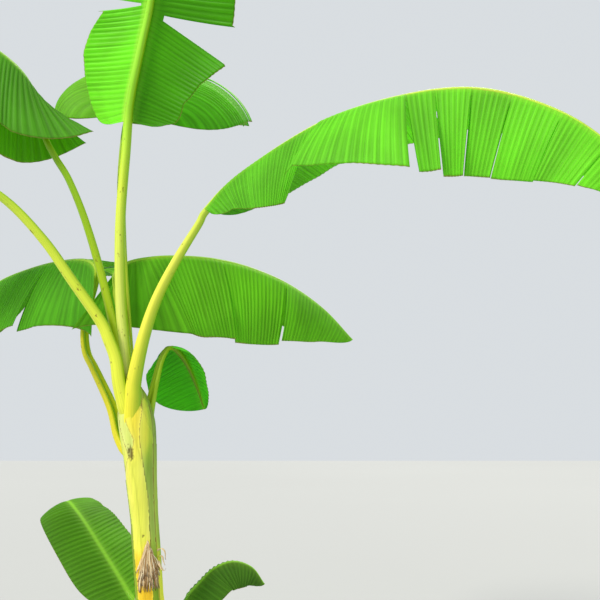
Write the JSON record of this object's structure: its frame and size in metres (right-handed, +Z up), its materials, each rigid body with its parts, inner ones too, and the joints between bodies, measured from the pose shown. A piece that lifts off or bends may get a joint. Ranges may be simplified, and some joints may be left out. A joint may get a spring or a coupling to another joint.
{
  "type": "banana plant",
  "caption": "Banana plant with a leaning yellow-green trunk, long arching stalks, torn paddle leaves and a young sucker at its foot, fixed by the flat cut under its trunk.",
  "frame": {"origin": "middle of the flat cut under the trunk, at ground level", "axes": "+Z up; +X to the right and +Y away from the viewer, who looks from the front"},
  "size_m": [3.4284, 2.0506, 3.8586],
  "materials": {
    "trunk": "satin",
    "stalk": "satin",
    "leaf": "satin",
    "remnant": "matte"
  },
  "bodies": {
    "root": {"blade_back_inner": "leaf", "blade_back_outer": "leaf", "blade_back_right_inner": "leaf", "blade_back_right_outer": "leaf", "blade_centre_inner": "leaf", "blade_centre_outer": "leaf", "blade_left_inner": "leaf", "blade_left_outer": "leaf", "blade_low_left_inner": "leaf", "blade_low_left_outer": "leaf", "blade_low_right_whole": "leaf", "blade_right_inner": "leaf", "blade_right_outer": "leaf", "blade_sucker_left_whole": "leaf", "blade_sucker_right_whole": "leaf", "blade_upper_left_inner": "leaf", "blade_upper_left_outer": "leaf", "remnant": "remnant", "stalk_back": "stalk", "stalk_back_right": "stalk", "stalk_centre": "stalk", "stalk_left": "stalk", "stalk_low_left": "stalk", "stalk_low_right": "stalk", "stalk_right": "stalk", "stalk_sucker_left": "stalk", "stalk_sucker_right": "stalk", "stalk_upper_left": "stalk", "sucker_stem": "stalk", "trunk": "trunk"}
  },
  "joints": []
}
